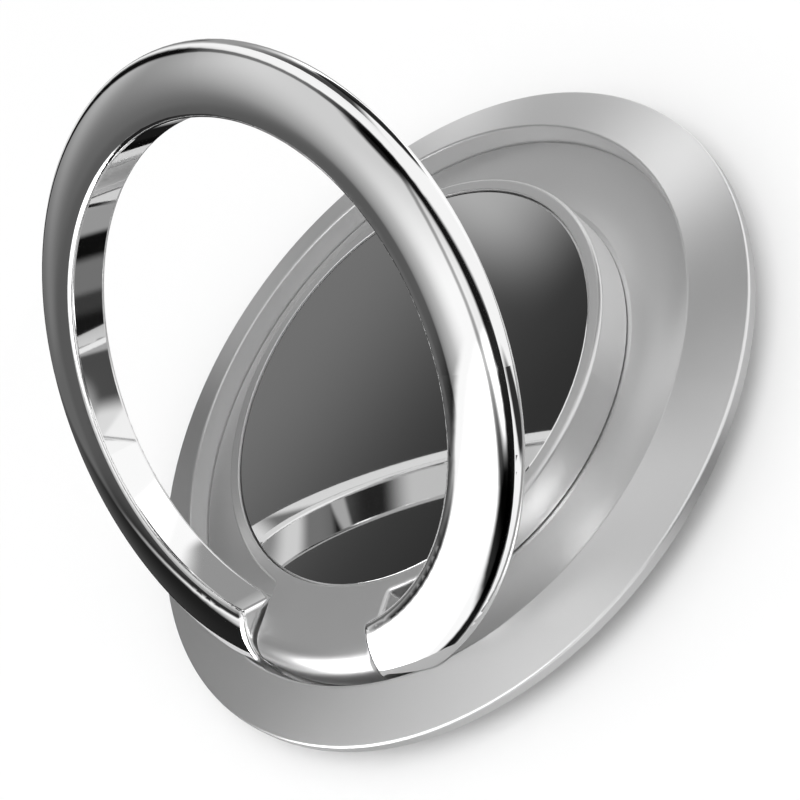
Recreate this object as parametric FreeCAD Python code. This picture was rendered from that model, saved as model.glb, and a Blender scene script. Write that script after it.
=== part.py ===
import FreeCAD, Part

import math
import os

# Phone ring holder. All sizes are in millimetres.
# The origin is the centre of the pad's sticky face, +Z is the axis that the hub turns about,
# X runs along the hinge pin, and the hinge lies on the -Y side.

# Adhesive pad, set in from the dish's edge
pad_inset = 2.0
pad_thickness = 0.8

# Dish: a turned disc with a low flange, a raised lip and a groove that the ring folds into
dish_radius = 20.0
flange_edge_height = 1.1
flange_edge_thickness = 0.6
flange_edge_rounding = 0.14
back_chamfer_width = 0.75
flange_width = 2.94
lip_height = 2.03
lip_rounding = 0.12
wall_run = 0.22
wall_foot_height = 0.7
foot_relief_width = 0.12
foot_relief_depth = 0.1
groove_margin = 0.27
groove_dip = 0.24
boss_margin = 0.4
boss_height = 1.55
web_thickness = 0.6
recess_wall = 0.8

# Rear cover, on a ledge round the recess
cover_ledge = 0.55
cover_thickness = 0.2
cover_clearance = 0.05

# Hub, inside the folded ring
rim_height = 3.13
rim_gap = 0.37
rim_width = 0.73
rim_outer_rounding = 0.22
rim_inner_rounding = 0.06
skirt_wall = 1.23
skirt_clearance = 0.08
spigot_margin = 2.8
spigot_wall = 1.8
spigot_clearance = 0.1
spigot_end_clearance = 0.12

# Tab on the hub
tab_half_width = 4.3
tab_overhang = 1.97
tab_front_rounding = 1.2
tab_bottom_clearance = 0.1
tab_notch_rounding = 0.3

# Mirror plate and its bonding film
plate_thickness = 0.35
plate_bevel = 0.1
plate_drop = 0.1
plate_clearance = 0.05
film_thickness = 0.1
film_margin = 0.2

# Turning bearing
glide_washer_thickness = 0.3
glide_washer_margin = 0.2
glide_washer_bore_margin = 0.5
snap_ring_thickness = 0.28
snap_groove_clearance = 0.02
snap_groove_depth = 0.5
snap_ring_reach = 0.9
snap_ring_gap_angle = 50.0
snap_ear_radius = 0.75
snap_ear_reach = 0.45
snap_ear_hole_radius = 0.35
snap_groove_lift = 0.13
wave_washer_margin = 0.3
wave_washer_bore_margin = 0.35
wave_washer_thickness = 0.1
wave_washer_clearance = 0.01
wave_count = 3

# Finger ring, folded flat
ring_rim_setback = 0.64
ring_band_width = 3.0
ring_rim_rounding = 0.52
ring_rim_height = 1.35
ring_crown_curve = 3.2
ring_back_setback = 0.7
ring_side_angle = 46.0
ring_edge_rounding = 0.3
ring_end_inner_rounding = 0.4
ring_fold_offset = 0.13
ring_seat_height = 0.9
ring_open_angle = 44.8
ring_stop_angle = 50.0
heel_relief_angles = (25.0, 38.0, ring_stop_angle)
heel_clearance = 0.08

# Hinge
hinge_setback = 1.43
hinge_height = 1.56
pin_radius = 0.3
pin_engagement = 1.1
pin_clearance = 0.03
pin_end_clearance = 0.05
end_washer_thickness = 0.2
end_washer_radius = 0.75

# Levels, counted from the sticky face
back_z = pad_thickness
flange_z = back_z + flange_edge_height
lip_z = back_z + lip_height
floor_z = back_z + wall_foot_height
boss_z = back_z + boss_height
web_z = boss_z - web_thickness
cover_z = back_z + cover_thickness
hub_z = boss_z + glide_washer_thickness
rim_z = back_z + rim_height
skirt_z = floor_z + skirt_clearance
spigot_z = cover_z + spigot_end_clearance
snap_groove_z = spigot_z + snap_groove_lift
snap_groove_top_z = snap_groove_z + snap_ring_thickness + snap_groove_clearance
snap_top_z = snap_groove_z + snap_ring_thickness
plate_top_z = rim_z - plate_drop
plate_z = plate_top_z - plate_thickness
seat_z = plate_z - film_thickness
tab_z = floor_z + tab_bottom_clearance
hinge_z = back_z + hinge_height
ring_z = back_z + ring_seat_height

# Radii, counted inwards from the dish's edge
pad_radius = dish_radius - pad_inset
lip_radius = dish_radius - flange_width
wall_foot_radius = lip_radius - wall_run
ring_rim_radius = wall_foot_radius - ring_rim_setback
ring_back_flat_radius = ring_rim_radius - ring_back_setback
ring_inner_radius = ring_rim_radius - ring_band_width
hinge_offset = ring_inner_radius + hinge_setback
tab_radius = hinge_offset + tab_overhang
rim_radius = ring_inner_radius - rim_gap
groove_inner_radius = rim_radius + groove_margin
plate_seat_radius = rim_radius - rim_width
plate_radius = plate_seat_radius - plate_clearance
skirt_inner_radius = rim_radius - skirt_wall
boss_radius = skirt_inner_radius - boss_margin
recess_radius = boss_radius - recess_wall
cover_radius = recess_radius + cover_ledge
recess_mouth_radius = cover_radius + cover_clearance
spigot_radius = boss_radius - spigot_margin
spigot_inner_radius = spigot_radius - spigot_wall
glide_washer_outer_radius = boss_radius - glide_washer_margin
wave_washer_outer_radius = recess_radius - wave_washer_margin
snap_ring_outer_radius = spigot_radius + snap_ring_reach

# Other sizes that follow from the ones above
tab_root_radius = plate_seat_radius + rim_width / 2
spigot_bore_radius = spigot_radius + spigot_clearance
glide_washer_inner_radius = spigot_radius + glide_washer_bore_margin
wave_washer_inner_radius = spigot_radius + wave_washer_bore_margin
snap_groove_radius = spigot_radius - snap_groove_depth
ring_end_x = tab_half_width + end_washer_thickness
pin_half_length = ring_end_x + pin_engagement
pin_bore_radius = pin_radius + pin_clearance
match_tolerance = 0.001

z_axis = FreeCAD.Vector(0, 0, 1)
x_axis = FreeCAD.Vector(1, 0, 0)
origin = FreeCAD.Vector(0, 0, 0)


def at(radius, height):
    """A point of a profile that is turned about the Z axis."""
    return FreeCAD.Vector(radius, 0, height)


def lines(*points):
    """Straight edges through the points in turn."""
    return [Part.LineSegment(a, b).toShape() for a, b in zip(points, points[1:])]


def arc(start, middle, end):
    return Part.Arc(start, middle, end).toShape()


def on_circle(centre, radius, degrees):
    angle = math.radians(degrees)
    return centre + at(radius * math.cos(angle), radius * math.sin(angle))


def turned(edges):
    """Solid of revolution about the Z axis of a closed profile."""
    face = Part.Face(Part.Wire(edges))
    return face.revolve(origin, z_axis, 360)


def disc(radius, bottom, thickness):
    return Part.makeCylinder(radius, thickness, FreeCAD.Vector(0, 0, bottom))


def annulus(outer, inner, bottom, thickness):
    return disc(outer, bottom, thickness).cut(disc(inner, bottom, thickness))


def x_cylinder(radius, x, y, z, length):
    return Part.makeCylinder(radius, length, FreeCAD.Vector(x, y, z), x_axis)


def circle_edges(solid, radius, z):
    """The circular edges about the Z axis that have this radius and height."""
    found = []
    for edge in solid.Edges:
        curve = edge.Curve
        if not isinstance(curve, Part.Circle):
            continue
        level = abs(curve.Center.z - z) < match_tolerance
        central = math.hypot(curve.Center.x, curve.Center.y) < match_tolerance
        if level and central and abs(curve.Radius - radius) < match_tolerance:
            found.append(edge)
    return found


def on_hinge(shape, angle):
    """The shape turned about the hinge pin by this angle."""
    turned_shape = shape.copy()
    turned_shape.rotate(FreeCAD.Vector(0, -hinge_offset, hinge_z), x_axis, angle)
    return turned_shape


def adhesive_pad():
    return disc(pad_radius, 0, pad_thickness)


def base_dish():
    foot_outer = wall_foot_radius
    foot_inner = wall_foot_radius - foot_relief_width
    dip_radius = (foot_inner + groove_inner_radius) / 2
    outline = lines(
        at(groove_inner_radius, floor_z),
        at(boss_radius, floor_z),
        at(boss_radius, boss_z),
        at(spigot_bore_radius, boss_z),
        at(spigot_bore_radius, web_z),
        at(recess_radius, web_z),
        at(recess_radius, cover_z),
        at(recess_mouth_radius, cover_z),
        at(recess_mouth_radius, back_z),
        at(dish_radius - back_chamfer_width, back_z),
        at(dish_radius, flange_z - flange_edge_thickness),
        at(dish_radius, flange_z),
        at(lip_radius, lip_z),
        at(foot_outer, floor_z),
        at(foot_outer, floor_z - foot_relief_depth),
        at(foot_inner, floor_z - foot_relief_depth),
        at(foot_inner, floor_z),
    )
    groove = arc(
        at(foot_inner, floor_z),
        at(dip_radius, floor_z - groove_dip),
        at(groove_inner_radius, floor_z),
    )
    dish = turned(outline + [groove])
    dish = dish.makeFillet(flange_edge_rounding, circle_edges(dish, dish_radius, flange_z))
    return dish.makeFillet(lip_rounding, circle_edges(dish, lip_radius, lip_z))


def rear_cover():
    return disc(cover_radius, back_z, cover_thickness)


def glide_washer():
    return annulus(glide_washer_outer_radius, glide_washer_inner_radius, boss_z, glide_washer_thickness)


def wave_circle(radius, middle_z, height):
    """A closed curve about the Z axis that rises and falls wave_count times."""
    steps = 8 * wave_count
    points = []
    for step in range(steps):
        angle = 2 * math.pi * step / steps
        z = middle_z + height * math.cos(wave_count * angle)
        points.append(FreeCAD.Vector(radius * math.cos(angle), radius * math.sin(angle), z))
    curve = Part.BSplineCurve()
    curve.interpolate(Points=points, PeriodicFlag=True)
    return curve.toShape()


def wave_washer():
    room = web_z - snap_top_z
    height = (room - wave_washer_thickness) / 2 - wave_washer_clearance
    middle_z = snap_top_z + wave_washer_clearance + height
    outer = wave_circle(wave_washer_outer_radius, middle_z, height)
    inner = wave_circle(wave_washer_inner_radius, middle_z, height)
    sheet = Part.makeRuledSurface(outer, inner)
    return sheet.extrude(FreeCAD.Vector(0, 0, wave_washer_thickness))


def snap_ring():
    ring = annulus(snap_ring_outer_radius, snap_groove_radius, snap_groove_z, snap_ring_thickness)
    half_gap = math.radians(snap_ring_gap_angle / 2)
    reach = 2 * snap_ring_outer_radius
    corners = [
        FreeCAD.Vector(0, 0, snap_groove_z),
        FreeCAD.Vector(-reach * math.sin(half_gap), -reach * math.cos(half_gap), snap_groove_z),
        FreeCAD.Vector(reach * math.sin(half_gap), -reach * math.cos(half_gap), snap_groove_z),
    ]
    wedge = Part.Face(Part.makePolygon(corners + corners[:1]))
    ring = ring.cut(wedge.extrude(FreeCAD.Vector(0, 0, snap_ring_thickness)))
    ear_path = snap_ring_outer_radius - snap_ear_radius + snap_ear_reach
    ears = []
    holes = []
    for side in (-1, 1):
        spot = FreeCAD.Vector(
            side * ear_path * math.sin(half_gap), -ear_path * math.cos(half_gap), snap_groove_z
        )
        ears.append(Part.makeCylinder(snap_ear_radius, snap_ring_thickness, spot))
        holes.append(Part.makeCylinder(snap_ear_hole_radius, snap_ring_thickness, spot))
    spigot = disc(spigot_radius, snap_groove_z, snap_ring_thickness)
    ears = [ear.cut(spigot) for ear in ears]
    return ring.fuse(ears).cut(holes).removeSplitter()


def hub_turning():
    """The hub without its tab: rim, plate seat, skirt and the spigot with its groove."""
    hub = turned(
        lines(
            at(0, seat_z),
            at(plate_seat_radius, seat_z),
            at(plate_seat_radius, rim_z),
            at(rim_radius, rim_z),
            at(rim_radius, skirt_z),
            at(skirt_inner_radius, skirt_z),
            at(skirt_inner_radius, hub_z),
            at(spigot_radius, hub_z),
            at(spigot_radius, snap_groove_top_z),
            at(snap_groove_radius, snap_groove_top_z),
            at(snap_groove_radius, snap_groove_z),
            at(spigot_radius, snap_groove_z),
            at(spigot_radius, spigot_z),
            at(spigot_inner_radius, spigot_z),
            at(spigot_inner_radius, hub_z),
            at(0, hub_z),
            at(0, seat_z),
        )
    )
    return hub.makeFillet(rim_inner_rounding, circle_edges(hub, plate_seat_radius, rim_z))


def tab():
    """The tab: a turned form whose front edge rounds over, cut to the tab's width."""
    front = at(tab_radius - tab_front_rounding, rim_z - tab_front_rounding)
    top = on_circle(front, tab_front_rounding, 90)
    middle = on_circle(front, tab_front_rounding, 45)
    face = on_circle(front, tab_front_rounding, 0)
    form = turned(
        lines(at(tab_root_radius, rim_z), top)
        + [arc(top, middle, face)]
        + lines(face, at(tab_radius, tab_z), at(tab_root_radius, tab_z), at(tab_root_radius, rim_z))
    )
    corner = FreeCAD.Vector(-tab_half_width, -tab_radius, tab_z)
    width = Part.makeBox(2 * tab_half_width, tab_radius, rim_z - tab_z, corner)
    return form.common(width)


def notch_edges(solid):
    """The upright edges where the tab's sides meet the hub's wall."""
    found = []
    for edge in solid.Edges:
        box = edge.BoundBox
        beside = abs(abs(box.Center.x) - tab_half_width) < match_tolerance and box.XLength < match_tolerance
        if beside and box.ZLength > plate_thickness and box.Center.y > -rim_radius:
            found.append(edge)
    return found


def outline_edges(solid):
    """The outer edges of the hub's flat top, and the tab's side edges down its rounded front."""
    found = []
    for edge in solid.Edges:
        box = edge.BoundBox
        middle = edge.valueAt((edge.FirstParameter + edge.LastParameter) / 2)
        if math.hypot(middle.x, middle.y) < tab_root_radius:
            continue
        on_top = box.ZMin > rim_z - match_tolerance
        across = abs(middle.x) < match_tolerance and middle.y < 0
        on_side = box.XLength < match_tolerance and abs(abs(middle.x) - tab_half_width) < match_tolerance
        down_front = on_side and middle.y < -rim_radius and box.ZMax > tab_z + match_tolerance
        if (on_top and not across) or down_front:
            found.append(edge)
    return found


def hinge_hub():
    body = hub_turning().fuse(tab()).removeSplitter()
    body = body.makeFillet(tab_notch_rounding, notch_edges(body))
    body = body.makeFillet(rim_outer_rounding, outline_edges(body))
    return body.cut(x_cylinder(pin_radius, -tab_half_width, -hinge_offset, hinge_z, 2 * tab_half_width))


def mirror_plate():
    plate = disc(plate_radius, plate_z, plate_thickness)
    return plate.makeChamfer(plate_bevel, circle_edges(plate, plate_radius, plate_top_z))


def mirror_tape():
    return disc(plate_radius - film_margin, seat_z, film_thickness)


def ring_profile():
    """Section of the finger ring, folded: flat back, slanted side, round rim, domed front."""
    rim = at(ring_rim_radius, ring_z + ring_rim_height)
    side = on_circle(rim, ring_rim_rounding, -ring_side_angle)
    shoulder = on_circle(rim, ring_rim_rounding, ring_side_angle)
    crown = on_circle(rim, ring_rim_rounding - ring_crown_curve, ring_side_angle)
    inner_lean = math.degrees(math.acos((ring_inner_radius - crown.x) / ring_crown_curve))
    inner_front = on_circle(crown, ring_crown_curve, inner_lean)
    crest = on_circle(crown, ring_crown_curve, (inner_lean + ring_side_angle) / 2)
    inner_back = at(ring_inner_radius, ring_z)
    return (
        lines(inner_front, inner_back, at(ring_back_flat_radius, ring_z), side)
        + [arc(side, on_circle(rim, ring_rim_rounding, 0), shoulder)]
        + [arc(shoulder, crest, inner_front)]
    )


def ring_end_uprights(solid):
    """The two upright edges where the ring's inner wall meets its flat ends."""
    found = []
    for edge in solid.Edges:
        box = edge.BoundBox
        upright = box.XLength < match_tolerance and box.YLength < match_tolerance
        reach = math.hypot(box.Center.x, box.Center.y)
        if upright and box.Center.y < 0 and abs(reach - ring_inner_radius) < match_tolerance:
            found.append(edge)
    return found


def ring_outline_edges(solid):
    """The edges round the ring's inner wall, its two inner corners and its flat ends."""
    found = []
    for edge in solid.Edges:
        box = edge.BoundBox
        middle = edge.valueAt((edge.FirstParameter + edge.LastParameter) / 2)
        upright = box.XLength < match_tolerance and box.YLength < match_tolerance
        at_end = box.XLength < match_tolerance and abs(abs(middle.x) - ring_end_x) < match_tolerance
        at_wall = math.hypot(middle.x, middle.y) < ring_inner_radius + ring_end_inner_rounding
        if not upright and (at_end or at_wall):
            found.append(edge)
    return found


def folded_ring():
    ring = turned(ring_profile())
    reach = ring_rim_radius + ring_rim_rounding + 1
    gap = Part.makeBox(2 * ring_end_x, reach, lip_z + ring_crown_curve, FreeCAD.Vector(-ring_end_x, -reach, 0))
    ring = ring.cut(gap)
    ring = ring.makeFillet(ring_end_inner_rounding, ring_end_uprights(ring))
    return ring.makeFillet(ring_edge_rounding, ring_outline_edges(ring))


def lip_keep_out():
    """The dish's wall, lip and flange with a running gap, which the ring's heels must clear."""
    return turned(
        lines(
            at(wall_foot_radius - heel_clearance, floor_z),
            at(lip_radius - heel_clearance, lip_z + heel_clearance),
            at(dish_radius, flange_z + heel_clearance),
            at(dish_radius, floor_z),
            at(wall_foot_radius - heel_clearance, floor_z),
        )
    )


def finger_ring():
    """The ring in its open pose, with heels that pass inside the lip as it swings up."""
    ring = folded_ring()
    ring.translate(FreeCAD.Vector(0, -ring_fold_offset, 0))
    wall = lip_keep_out()
    ring = ring.cut([on_hinge(wall, -angle) for angle in heel_relief_angles])
    bore_end = pin_half_length + pin_end_clearance
    ring = ring.cut(x_cylinder(pin_bore_radius, -bore_end, -hinge_offset, hinge_z, 2 * bore_end))
    return on_hinge(ring, ring_open_angle)


def hinge_pin():
    return x_cylinder(pin_radius, -pin_half_length, -hinge_offset, hinge_z, 2 * pin_half_length)


def friction_washer(side):
    """Washer between the tab and one end of the ring; side is -1 on the left, 1 on the right."""
    start = tab_half_width if side > 0 else -ring_end_x
    washer = x_cylinder(end_washer_radius, start, -hinge_offset, hinge_z, end_washer_thickness)
    return washer.cut(x_cylinder(pin_bore_radius, start, -hinge_offset, hinge_z, end_washer_thickness))


def save(name, shape):
    if not shape.isValid() or len(shape.Solids) != 1:
        raise ValueError(name + " is not one valid solid")
    shape.Solids[0].exportStep("parts/" + name + ".step")


def main():
    os.makedirs("parts", exist_ok=True)
    save("adhesive_pad", adhesive_pad())
    save("base_dish", base_dish())
    save("rear_cover", rear_cover())
    save("glide_washer", glide_washer())
    save("wave_washer", wave_washer())
    save("snap_ring", snap_ring())
    save("hinge_hub", hinge_hub())
    save("mirror_plate", mirror_plate())
    save("mirror_tape", mirror_tape())
    save("finger_ring", finger_ring())
    save("hinge_pin", hinge_pin())
    save("friction_washer_left", friction_washer(-1))
    save("friction_washer_right", friction_washer(1))


main()
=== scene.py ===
import math

import bpy
from mathutils import Matrix, Vector


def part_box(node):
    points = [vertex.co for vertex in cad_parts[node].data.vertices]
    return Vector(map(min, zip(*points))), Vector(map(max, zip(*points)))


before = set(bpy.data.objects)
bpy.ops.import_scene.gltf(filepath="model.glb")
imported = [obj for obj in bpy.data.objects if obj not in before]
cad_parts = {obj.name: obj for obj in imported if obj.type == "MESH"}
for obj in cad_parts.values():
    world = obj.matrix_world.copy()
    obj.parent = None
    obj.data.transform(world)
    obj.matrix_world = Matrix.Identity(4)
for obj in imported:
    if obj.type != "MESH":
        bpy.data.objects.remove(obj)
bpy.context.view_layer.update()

# All lengths are in metres.

# ---- the camera: its place, and its right, up and backward directions ----

camera_place = (0.06425, -0.03289, 0.06091)
camera_right = (0.71391, 0.30757, -0.62908)
camera_up = (0.02587, 0.88619, 0.46262)
camera_back = (0.69977, -0.34654, 0.62469)
camera_lens = 76.47
camera_sensor = 36.0
camera_near = 0.001
camera_far = 10.0

# ---- the studio's parts ----

surround_centre = (0.0, 0.0, 0.010)
surround_radius = 0.050
card_distance = 0.032
card_away = (-0.6997, 0.3465, 0.6247)
card_across = (-0.4438, -0.8961, 0.0)
floor_size = 3.0
floor_white_step = (0.03, 0.12)
lamp_place = (0.05, -0.1, 0.6)
lamp_size = 0.6
lamp_power = 1.2
world_light = 0.8

# ---- the marks on the surround's maps ----
#
# The surround is drawn on two flat maps of its directions. The main map has x to the left and y
# upwards, and the side map has s and t. An oval is its centre, its turn in degrees and its two
# radii. A step is where a smooth change starts and where it ends. A box is the steps at its low x,
# high x, low y and high y sides, with None for an open side.

main_ahead = (-0.7004, -0.6219, 0.3502)
main_left = (-0.6548, 0.3647, -0.6620)
main_up = (-0.2840, 0.6930, 0.6627)
side_ahead = (0.8947, -0.3158, -0.3158)
side_left = (-0.3328, -0.943, 0.0)
side_up = (0.2978, -0.1051, 0.9488)

# The sweep that the ring's face shows, in three levels along x
sweep_levels = (0.64, 0.2, 0.34)
sweep_steps = ((-0.5, 0.03), (0.0, 0.22))
sweep_low_levels = (0.85, 0.62)
sweep_low_step = (-0.2, -0.06)
sweep_high_level = 1.7
sweep_rise = (0.12, 0.66)
sweep_rise_reach = (-0.5, -0.1)
sweep_end_level = 0.62
sweep_end = (0.1, 0.36)

# The glow beside the sweep and the white panel below it, whose core is brighter than white
glow_box = (None, (-0.62, -0.3), None, (-0.05, 0.34))
panel_slope = 0.12
panel_top = -0.05
panel_edge = (-0.012, 0.012)
core_levels = (2.2, 5.0)
core_level_step = (-0.2, -0.05)
core_top = (-0.08, -0.16)
core_bottom = (-0.6, -0.4)

# The dark stripe that leans and widens downwards
stripe_down = (-0.05, -0.95)
stripe_place = -0.832
stripe_lean = 0.37
stripe_half_width = 0.026
stripe_widening = 0.1
stripe_edge = (0.3, 1.9)
stripe_depths = (0.6, 0.963)
stripe_depth_step = (-0.05, -0.5)
stripe_side_level = 0.88
stripe_side = (-0.1, 0.02)

# Dark ovals, each with its edge's step and its depth
blot_oval = ((-0.748, 0.429), 45.0, (0.163, 0.067))
blot_edge = (0.5, 1.3)
heavy_oval = ((-0.47, -0.665), -16.0, (0.33, 0.1))
heavy_edge = (0.6, 1.2)
oval_depth = 0.98

# The black wedge under the sweep, and the dim box above it
wedge_lean = 0.2
wedge_foot = -0.1
wedge_side = (-0.029, 0.023)
wedge_slope = 0.4
wedge_top = -0.062
wedge_top_edge = (-0.026, 0.026)
wedge_levels = (0.013, 0.086)
wedge_level_steps = ((0.05, 0.45), (-0.3, 0.0))
dim_box = ((-0.13, -0.09), (0.28, 0.38), None, (0.08, 0.16))
dim_levels = (0.012, 0.1)
dim_level_step = (-0.06, 0.02)
dim_end_level = 0.13
dim_end = (0.04, 0.14)

# The dark line round all that, on the main oval, and its thinner part at the top
main_oval = ((-0.277, -0.024), 20.0, (0.803, 0.706))
main_oval_edge = (1.0, 1.06)
line_widths = (0.084, 0.047)
line_width_step = (-0.922, -0.371)
line_inner_edge = (-1.5, -0.6)
line_outer_edge = (0.4, 1.0)
line_depth = 0.99
line_faint_share = 0.42
line_faint_step = (0.42, 0.6)
line_top_box = ((-0.75, -0.45), (-0.15, 0.0), (0.4, 0.5), None)
line_top_narrowing = 0.3
line_top_fading = 0.25

# The light beyond the line, with its dark sky, its bright top and three darker boxes
beyond_level = 0.95
sky_levels = (0.06, 0.32)
sky_level_step = (-0.5, 0.0)
sky_oval_edge = (1.12, 1.3)
sky_box = ((-1.0, -0.8), (0.6, 0.9), (0.2, 0.6), None)
bright_top_slope = 0.3
bright_top = (1.0, 1.5)
crown_place = -0.1
crown_half = (0.3, 0.6)
crown_bottom = (1.3, 1.7)
crown_level = 0.8
patch_box = ((0.4, 0.55), (0.8, 0.9), (0.2, 0.3), (0.6, 0.9))
patch_depth = 0.65
shade_box = ((0.56, 0.68), (0.95, 1.1), (0.85, 1.0), (2.0, 2.3))
shade_level = 0.3
gap_box = ((0.42, 0.55), (0.9, 1.1), None, None)
gap_place = -0.02
gap_half = (0.2, 0.36)
gap_level = 0.01

# Two flags on the side map, and the low part of the surround
flag_oval = ((-0.96, 0.5), 0.0, (0.36, 0.4))
flag_edge = (0.85, 1.08)
flag_depth = 0.98
narrow_oval = ((-0.06, 0.02), 66.0, (0.27, 0.1))
narrow_edge = (0.75, 1.2)
narrow_depth = 0.97
low_step = (-0.6, -0.54)
low_sides = ((0.9, 0.6), (-1.2, -0.9))
low_depth = 0.68

# What the plate and the ring's wall show of the surround by way of another polished face:
# a first level, then the steps and the levels that follow
plate_stripes = (
    0.37,
    ((-0.42, -0.47), 0.005),
    ((-0.58, -0.66), 0.2),
    ((-0.84, -0.92), 0.05),
    ((-1.0, -1.12), 0.01),
    ((-1.3, -1.36), 0.45),
    ((-1.5, -1.56), 0.08),
    ((-2.3, -2.9), 0.85),
)
wall_stripes = (
    0.29,
    ((-0.68, -0.52), 0.75),
    ((-0.47, -0.38), 0.2),
    ((-0.34, -0.1), 0.02),
    ((-0.05, 0.08), 0.62),
)
plate_path_slope = -0.5
plate_path_bend = -0.65
plate_path_rise = 0.37
plate_path_half = (0.1, 0.2)
plate_path_end = (-0.3, -0.2)
wall_path_oval = ((-0.65, 0.0), 0.0, (0.86, 0.86))
wall_path_half = (0.1, 0.18)
satin_patches = (
    (((-1.1, -0.42), 0.0, (0.32, 0.28)), 4.0),
    (((-1.05, 0.2), 0.0, (0.22, 0.22)), 2.0),
)
satin_patch_edge = (0.4, 1.2)
twice_level = 0.45
twice_top = (0.9, 1.3)
twice_top_level = 0.6
twice_side = (-0.1, 0.1)
twice_side_level = 0.8
second_bounce = (1.4, 1.6)

# The card that the flat plate sees, in millimetres on the card
to_millimetres = 1000.0
card_half_length = 0.019
card_oval = ((0.0, 0.8), 0.0, (19.0, 13.5))
card_edge = (1.0, 0.86)
card_levels = (0.19, 0.05, 0.035)
card_steps = ((-9.0, 6.0), (4.0, 10.0))
card_corner_box = (None, (-14.5, -8.5), None, (-3.0, 6.0))
card_corner_level = 0.33
# and how long a ray is that sees it
card_near_step = (0.020, 0.022)
card_far_step = (0.044, 0.042)


class Value:
    """A socket that carries a number. Arithmetic on it adds Math nodes."""

    def __init__(self, nodes, socket):
        self.nodes = nodes
        self.socket = socket

    def math(self, operation, *terms):
        return self.nodes.add("ShaderNodeMath", {"operation": operation}, list(terms))

    def __add__(self, other):
        return self.math("ADD", self, other)

    def __radd__(self, other):
        return self.math("ADD", other, self)

    def __sub__(self, other):
        return self.math("SUBTRACT", self, other)

    def __rsub__(self, other):
        return self.math("SUBTRACT", other, self)

    def __mul__(self, other):
        return self.math("MULTIPLY", self, other)

    def __rmul__(self, other):
        return self.math("MULTIPLY", other, self)

    def __truediv__(self, other):
        return self.math("DIVIDE", self, other)

    def __pow__(self, other):
        return self.math("POWER", self, other)

    def __abs__(self):
        return self.math("ABSOLUTE", self)

    def at_least(self, other):
        return self.math("MAXIMUM", self, other)


class Nodes:
    """The node tree of a material or of the world."""

    def __init__(self, owner):
        owner.use_nodes = True
        self.owner = owner
        self.tree = owner.node_tree
        self.tree.nodes.clear()

    def add(self, kind, settings=None, inputs=None, output=0):
        """A new node: its settings first, then the values or links of its sockets."""
        node = self.tree.nodes.new(kind)
        for name, value in (settings or {}).items():
            setattr(node, name, value)
        pairs = enumerate(inputs) if isinstance(inputs, list) else (inputs or {}).items()
        for key, value in pairs:
            if isinstance(value, Value):
                self.tree.links.new(value.socket, node.inputs[key])
            elif value is not None:
                node.inputs[key].default_value = value
        return Value(self, node.outputs[output]) if len(node.outputs) else None

    def soft(self, value, step):
        """Smoothly from 0 at the step's start to 1 at its end."""
        start, end = step
        settings = {"interpolation_type": "SMOOTHSTEP"}
        inputs = {0: value, 1: start, 2: end, 3: 0.0, 4: 1.0}
        return self.add("ShaderNodeMapRange", settings, inputs)

    def mix(self, low, high, share):
        """From one number to another by share."""
        return self.add("ShaderNodeMix", {"data_type": "FLOAT"}, {0: share, 2: low, 3: high})

    def blend(self, low, high, share):
        """From one colour to another by share."""
        return self.add("ShaderNodeMix", {"data_type": "RGBA"}, {0: share, 6: low, 7: high}, 2)

    def dot(self, vector, direction):
        settings = {"operation": "DOT_PRODUCT"}
        return self.add("ShaderNodeVectorMath", settings, [vector, direction], "Value")

    def object_place(self):
        return self.add("ShaderNodeTexCoord", output="Object")

    def glow(self, level):
        """Light of this level, where 1 is white."""
        return self.add("ShaderNodeEmission", inputs={"Color": level, "Strength": 1.0})

    def show(self, shader):
        self.add("ShaderNodeOutputMaterial", inputs={"Surface": shader})


def grey(level, warmth=0.0):
    return (level * (1 + warmth), level, level * (1 - warmth), 1.0)


# ---- finishes ----


def finish(name):
    return Nodes(bpy.data.materials.new(name))


def place_on(nodes, scale):
    """Object coordinates, in units of one over scale."""
    inputs = {0: nodes.object_place(), "Scale": scale}
    return nodes.add("ShaderNodeVectorMath", {"operation": "SCALE"}, inputs)


def noise(nodes, scale, detail=2.0):
    inputs = {"Vector": place_on(nodes, scale), "Scale": 1.0, "Detail": detail}
    return nodes.add("ShaderNodeTexNoise", inputs=inputs)


def bump(nodes, height, strength, distance):
    inputs = {"Height": height, "Strength": strength, "Distance": distance}
    return nodes.add("ShaderNodeBump", inputs=inputs)


def surface(nodes, colour, roughness, metallic, **others):
    sockets = {"Base Color": colour, "Roughness": roughness, "Metallic": metallic}
    sockets.update({name.replace("_", " "): value for name, value in others.items()})
    return nodes.add("ShaderNodeBsdfPrincipled", inputs=sockets)


def satin_metal(name, level, roughness):
    """Fine blasted and plated metal: an even grey with a hair of grain."""
    nodes = finish(name)
    cloud = noise(nodes, 160.0)
    grain = noise(nodes, 14000.0, 3.0)
    colour = nodes.blend(grey(level * 0.97), grey(level * 1.03), cloud)
    rough = nodes.mix(roughness * 0.9, roughness * 1.1, grain)
    grain_bump = bump(nodes, grain, strength=0.12, distance=0.00001)
    nodes.show(surface(nodes, colour, rough, 0.85, Normal=grain_bump))
    return nodes


def polished_metal(name, level, roughness):
    """Bright plating, a little uneven where hands have wiped it."""
    nodes = finish(name)
    cloud = noise(nodes, 220.0, 4.0)
    colour = nodes.blend(grey(level * 0.985), grey(level), cloud)
    rough = nodes.mix(roughness * 0.7, roughness * 1.4, cloud)
    nodes.show(surface(nodes, colour, rough, 1.0))
    return nodes


def drawn_steel(name, level):
    """Steel wire and strip with fine scratches and a warm tinge."""
    nodes = finish(name)
    scratch = noise(nodes, 9000.0, 4.0)
    colour = nodes.blend(grey(level * 0.9, 0.01), grey(level, 0.01), scratch)
    rough = nodes.mix(0.22, 0.38, scratch)
    scratch_bump = bump(nodes, scratch, strength=0.2, distance=0.00001)
    nodes.show(surface(nodes, colour, rough, 1.0, Normal=scratch_bump))
    return nodes


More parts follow.
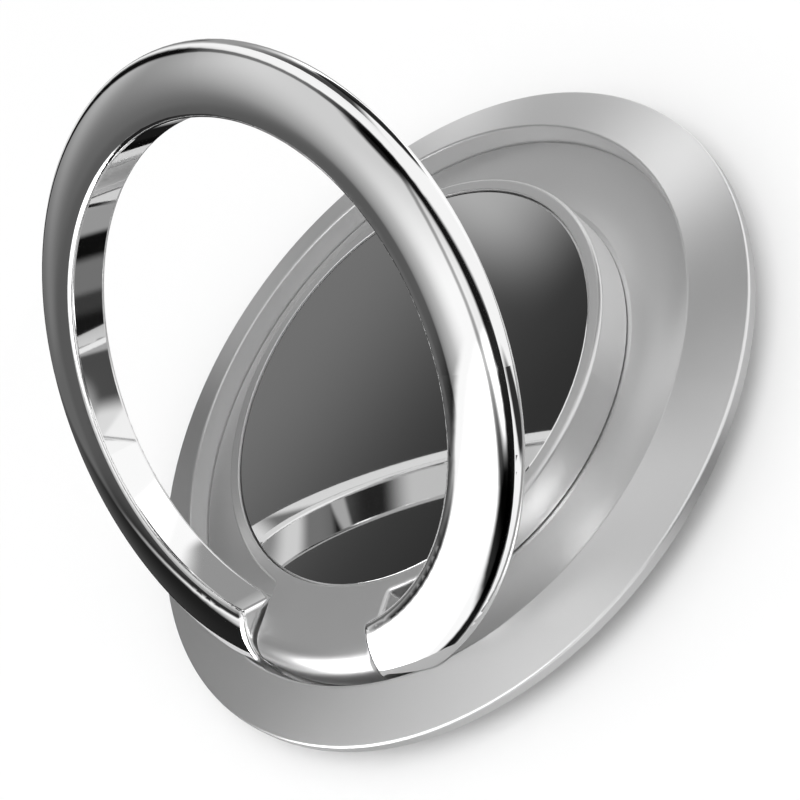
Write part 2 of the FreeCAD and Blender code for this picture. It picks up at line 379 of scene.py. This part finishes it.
def moulded_plastic(name, colour, darker):
    """Plastic sheet or moulding with a faint cloudy texture."""
    nodes = finish(name)
    cloud = noise(nodes, 900.0, 3.0)
    mixed = nodes.blend(darker, colour, cloud)
    rough = nodes.mix(0.42, 0.58, cloud)
    cloud_bump = bump(nodes, cloud, strength=0.15, distance=0.00002)
    nodes.show(surface(nodes, mixed, rough, 0.0, Normal=cloud_bump))
    return nodes


def cell_foam(name):
    """Closed-cell foam: small round cells, seen at the pad's cut side."""
    nodes = finish(name)
    inputs = {"Vector": place_on(nodes, 7000.0), "Scale": 1.0, "Smoothness": 0.4}
    cells = nodes.add("ShaderNodeTexVoronoi", {"feature": "SMOOTH_F1"}, inputs)
    colour = nodes.blend(grey(0.035), grey(0.075), cells)
    rough = nodes.mix(0.75, 0.95, cells)
    cell_bump = bump(nodes, cells, strength=0.5, distance=0.00004)
    nodes.show(surface(nodes, colour, rough, 0.0, Normal=cell_bump))
    return nodes


def dress(node_name, nodes):
    """Puts a finish on a CAD node."""
    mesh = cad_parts[node_name].data
    for slot in range(len(mesh.materials)):
        mesh.materials[slot] = nodes.owner


def dress_all():
    dress("base_dish", satin_metal("satin nickel dish", 0.81, 0.36))
    dress("hinge_hub", satin_metal("satin nickel hub", 0.79, 0.34))
    dress("mirror_plate", polished_metal("polished plate", 0.85, 0.02))
    dress("finger_ring", polished_metal("bright ring", 0.96, 0.035))
    dress("hinge_pin", drawn_steel("pin steel", 0.55))
    spring = drawn_steel("spring steel", 0.45)
    dress("wave_washer", spring)
    dress("snap_ring", spring)
    plastic = moulded_plastic("glide plastic", grey(0.62, 0.02), grey(0.55, 0.02))
    for washer in ("glide_washer", "friction_washer_left", "friction_washer_right"):
        dress(washer, plastic)
    dress("rear_cover", moulded_plastic("rear film", grey(0.06), grey(0.045)))
    dress("mirror_tape", moulded_plastic("bonding film", grey(0.30, 0.03), grey(0.25, 0.03)))
    dress("adhesive_pad", cell_foam("pad foam"))


# ---- the surround's light ----


def oval(x, y, shape):
    """1 on the outline of a turned oval, less inside it and more outside."""
    centre, turn, radii = shape
    cos, sin = math.cos(math.radians(turn)), math.sin(math.radians(turn))
    across, along = x - centre[0], y - centre[1]
    p = (across * cos + along * sin) / radii[0]
    q = (along * cos - across * sin) / radii[1]
    return (p * p + q * q) ** 0.5


def oval_spot(nodes, x, y, shape, edge):
    """1 in the middle of an oval and 0 outside its soft edge."""
    return 1 - nodes.soft(oval(x, y, shape), edge)


def soft_box(nodes, x, y, box):
    """1 inside a box with soft sides."""
    low_x, high_x, low_y, high_y = box
    share = 1.0
    for value, rises, falls in ((x, low_x, high_x), (y, low_y, high_y)):
        if rises:
            share = share * nodes.soft(value, rises)
        if falls:
            share = share * (1 - nodes.soft(value, falls))
    return share


def stripes(nodes, value, levels):
    """A first level, then the next ones, each from its step on."""
    shown, *later = levels
    for step, level in later:
        shown = nodes.mix(shown, level, nodes.soft(value, step))
    return shown


def sweep_light(nodes, x, y):
    """The sweep that the ring's face shows: dark in the middle, and lighter upwards there."""
    soft, mix = nodes.soft, nodes.mix
    first, middle, last = sweep_levels
    to_middle, to_last = sweep_steps
    level = mix(mix(first, middle, soft(x, to_middle)), last, soft(x, to_last))
    low = mix(*sweep_low_levels, soft(x, sweep_low_step))
    rise = mix(low, sweep_high_level, soft(y, sweep_rise))
    level = level * mix(1.0, rise, soft(x, sweep_rise_reach))
    return level * mix(1.0, sweep_end_level, soft(x, sweep_end))


def stripe_share(nodes, x, y):
    """How much light the leaning stripe and the dimmer ground beside it let through."""
    soft, mix = nodes.soft, nodes.mix
    down = soft(y, stripe_down)
    from_stripe = x - (down * stripe_lean + stripe_place)
    half = down * stripe_widening + stripe_half_width
    dark = 1 - soft(abs(from_stripe) / half, stripe_edge)
    depth = mix(*stripe_depths, soft(y, stripe_depth_step))
    return (1 - dark * depth) * mix(stripe_side_level, 1.0, soft(from_stripe, stripe_side))


def inner_light(nodes, x, y):
    """The light inside the main oval: sweep, glow, panel, stripe, wedge and dark ovals."""
    soft, mix = nodes.soft, nodes.mix
    panel = 1 - soft(y - (x * panel_slope + panel_top), panel_edge)
    core = soft(y - x * panel_slope, core_top) * soft(y, core_bottom)
    core_level = mix(*core_levels, soft(x, core_level_step))
    glow = soft_box(nodes, x, y, glow_box)
    level = mix(mix(sweep_light(nodes, x, y), 1.0, glow), mix(1.0, core_level, core), panel)
    level = level * stripe_share(nodes, x, y)
    level = level * (1 - oval_spot(nodes, x, y, blot_oval, blot_edge) * oval_depth)
    wedge = soft(x + (y - wedge_foot) * wedge_lean, wedge_side)
    wedge = wedge * (1 - soft(y - (x * wedge_slope + wedge_top), wedge_top_edge))
    wedge_share = soft(x, wedge_level_steps[0]) * soft(y, wedge_level_steps[1])
    level = mix(level, mix(*wedge_levels, wedge_share), wedge)
    dim = soft_box(nodes, x, y, dim_box) * (1 - panel) * (1 - wedge)
    dim_level = mix(mix(*dim_levels, soft(y, dim_level_step)), dim_end_level, soft(x, dim_end))
    level = mix(level, dim_level, dim)
    return level * (1 - oval_spot(nodes, x, y, heavy_oval, heavy_edge) * oval_depth)


def line_share(nodes, x, y, rim):
    """How dark the line on the main oval is."""
    soft, mix = nodes.soft, nodes.mix
    top = soft_box(nodes, x, y, line_top_box)
    width = mix(*line_widths, soft(x, line_width_step)) * (1 - top * line_top_narrowing)
    from_line = (rim - 1) / width
    dark = soft(from_line, line_inner_edge) * (1 - soft(from_line, line_outer_edge))
    faint = 1 - soft(x, line_faint_step) * line_faint_share
    return dark * faint * (1 - top * line_top_fading)


def beyond_light(nodes, x, y, rim):
    """The light outside the main oval."""
    soft, mix = nodes.soft, nodes.mix
    sky = mix(*sky_levels, soft(x, sky_level_step))
    level = mix(beyond_level, sky, soft(rim, sky_oval_edge) * soft_box(nodes, x, y, sky_box))
    level = mix(level, 1.0, soft(y - abs(x) * bright_top_slope, bright_top))
    crown = soft(y, crown_bottom) * (1 - soft(abs(x - crown_place), crown_half))
    level = level + crown * crown_level
    level = level * (1 - soft_box(nodes, x, y, patch_box) * patch_depth)
    level = mix(level, shade_level, soft_box(nodes, x, y, shade_box))
    gap = soft_box(nodes, x, y, gap_box) * (1 - soft(abs(y - gap_place), gap_half))
    return mix(level, gap_level, gap)


def main_light(nodes, x, y):
    """The brightness at a place on the main map."""
    rim = oval(x, y, main_oval)
    inside = inner_light(nodes, x, y)
    outside = beyond_light(nodes, x, y, rim)
    level = nodes.mix(inside, outside, nodes.soft(rim, main_oval_edge))
    return level * (1 - line_share(nodes, x, y, rim) * line_depth)


def side_share(nodes, s, t, height):
    """How much of that light is left at the camera's side: two flags and the low part."""
    soft = nodes.soft
    flag = oval_spot(nodes, s, t, flag_oval, flag_edge)
    narrow = oval_spot(nodes, s, t, narrow_oval, narrow_edge)
    low = (1 - soft(height, low_step)) * soft(s, low_sides[0]) * soft(s, low_sides[1])
    return (1 - flag * flag_depth) * (1 - narrow * narrow_depth) * (1 - low * low_depth)


def twice_reflected(nodes, x, y, s):
    """What polished faces show of the surround by way of each other."""
    soft, mix = nodes.soft, nodes.mix
    bend = (x * plate_path_slope + plate_path_bend).at_least(0.0)
    plate_path = 1 - soft(abs(y - (bend + plate_path_rise)), plate_path_half)
    plate_path = plate_path * (1 - soft(x, plate_path_end))
    wall_path = 1 - soft(abs(oval(x, y, wall_path_oval) - 1), wall_path_half)
    beside = soft(y, twice_top) * twice_top_level + twice_level
    for shape, level in satin_patches:
        beside = beside + oval_spot(nodes, x, y, shape, satin_patch_edge) * level
    shown = mix(beside, stripes(nodes, s, wall_stripes), wall_path)
    shown = mix(shown, stripes(nodes, x, plate_stripes), plate_path)
    return mix(shown, twice_side_level, soft(x, twice_side))


def map_places(nodes, direction, ahead, axes):
    """The place of a direction on a map, along each of the map's axes."""
    spread = nodes.dot(direction, ahead) + 1
    return [nodes.dot(direction, axis) / spread for axis in axes]


def surround_light():
    nodes = finish("surround light")
    settings = {"operation": "NORMALIZE"}
    direction = nodes.add("ShaderNodeVectorMath", settings, [nodes.object_place()])
    height = nodes.dot(direction, (0.0, 0.0, 1.0))
    x, y = map_places(nodes, direction, main_ahead, (main_left, main_up))
    s, t = map_places(nodes, direction, side_ahead, (side_left, side_up))
    first = main_light(nodes, x, y) * side_share(nodes, s, t, height)
    bounces = nodes.add("ShaderNodeLightPath", output="Glossy Depth")
    again = nodes.soft(bounces, second_bounce)
    nodes.show(nodes.glow(nodes.mix(first, twice_reflected(nodes, x, y, s), again)))
    return nodes


# ---- studio ----


def reflected_only(thing):
    """Part of the studio that polished metal sees, and nothing else."""
    thing.visible_camera = False
    thing.visible_diffuse = False
    thing.visible_transmission = False
    thing.visible_shadow = False


def reflecting_surround():
    """The sphere round the object, which is there for reflections alone."""
    bpy.ops.object.select_all(action="DESELECT")
    bpy.ops.mesh.primitive_uv_sphere_add(
        segments=96, ring_count=48, radius=surround_radius, location=surround_centre
    )
    surround = bpy.context.object
    surround.name = "studio_surround"
    surround.data.materials.append(surround_light().owner)
    reflected_only(surround)


def card_light():
    """The card's soft dark face, lighter at one corner, which only rays from the plate meet."""
    nodes = finish("card light")
    soft, mix = nodes.soft, nodes.mix
    where = nodes.object_place()
    x = nodes.dot(where, (to_millimetres, 0.0, 0.0))
    y = nodes.dot(where, (0.0, to_millimetres, 0.0))
    first, middle, last = card_levels
    to_middle, to_last = card_steps
    level = mix(mix(first, middle, soft(y, to_middle)), last, soft(y, to_last))
    level = level + soft_box(nodes, x, y, card_corner_box) * card_corner_level
    reach = nodes.add("ShaderNodeLightPath", output="Ray Length")
    seen = soft(oval(x, y, card_oval), card_edge)
    seen = seen * soft(reach, card_near_step) * soft(reach, card_far_step)
    clear = nodes.add("ShaderNodeBsdfTransparent")
    nodes.show(nodes.add("ShaderNodeMixShader", inputs=[seen, clear, nodes.glow(level)]))
    return nodes


def plate_card():
    away = Vector(card_away).normalized()
    across = Vector(card_across).normalized()
    turn = Matrix((across, away.cross(across), away)).transposed()
    place = Vector((0, 0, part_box("mirror_plate")[1].z)) + away * card_distance
    bpy.ops.object.select_all(action="DESELECT")
    bpy.ops.mesh.primitive_plane_add(size=2 * card_half_length)
    card = bpy.context.object
    card.name = "studio_card"
    card.matrix_world = Matrix.Translation(place) @ turn.to_4x4()
    card.data.materials.append(card_light().owner)
    reflected_only(card)


def floor_finish():
    """Pale near the object, where its shadow lies, and plain white further out."""
    nodes = finish("pale floor")
    cloud = noise(nodes, 30.0)
    near = surface(nodes, nodes.blend(grey(0.97), grey(0.98), cloud), 0.9, 0.0)
    where = nodes.object_place()
    away = nodes.add("ShaderNodeVectorMath", {"operation": "LENGTH"}, [where], "Value")
    camera_ray = nodes.add("ShaderNodeLightPath", output="Is Camera Ray")
    white = nodes.soft(away, floor_white_step) * camera_ray
    inputs = [white, near, nodes.glow(grey(1.0))]
    nodes.show(nodes.add("ShaderNodeMixShader", inputs=inputs))
    return nodes


def pale_floor():
    bpy.ops.object.select_all(action="DESELECT")
    bpy.ops.mesh.primitive_plane_add(size=floor_size, location=(0, 0, 0))
    ground = bpy.context.object
    ground.name = "studio_floor"
    ground.data.materials.append(floor_finish().owner)
    ground.visible_glossy = False


def overhead_lamp():
    """A soft square lamp that looks at the object."""
    data = bpy.data.lights.new("overhead lamp", "AREA")
    data.size = lamp_size
    data.energy = lamp_power
    lamp = bpy.data.objects.new("overhead lamp", data)
    bpy.context.scene.collection.objects.link(lamp)
    lamp.location = lamp_place
    lamp.rotation_mode = "QUATERNION"
    lamp.rotation_quaternion = Vector(lamp_place).to_track_quat("Z", "Y")
    lamp.visible_glossy = False


def plain_world():
    """Even light from all sides, which the camera itself sees as white."""
    world = bpy.data.worlds.new("studio")
    bpy.context.scene.world = world
    nodes = Nodes(world)
    camera_ray = nodes.add("ShaderNodeLightPath", output="Is Camera Ray")
    inputs = {"Color": grey(1.0), "Strength": nodes.mix(world_light, 1.0, camera_ray)}
    light = nodes.add("ShaderNodeBackground", inputs=inputs)
    nodes.add("ShaderNodeOutputWorld", inputs={"Surface": light})


def camera():
    data = bpy.data.cameras.new("camera")
    data.lens = camera_lens
    data.sensor_width = camera_sensor
    data.clip_start = camera_near
    data.clip_end = camera_far
    body = bpy.data.objects.new("camera", data)
    bpy.context.scene.collection.objects.link(body)
    turn = Matrix((camera_right, camera_up, camera_back)).transposed()
    body.matrix_world = Matrix.Translation(camera_place) @ turn.to_4x4()
    bpy.context.scene.camera = body


dress_all()
reflecting_surround()
plate_card()
pale_floor()
overhead_lamp()
plain_world()
camera()
bpy.context.scene.view_settings.view_transform = "Standard"
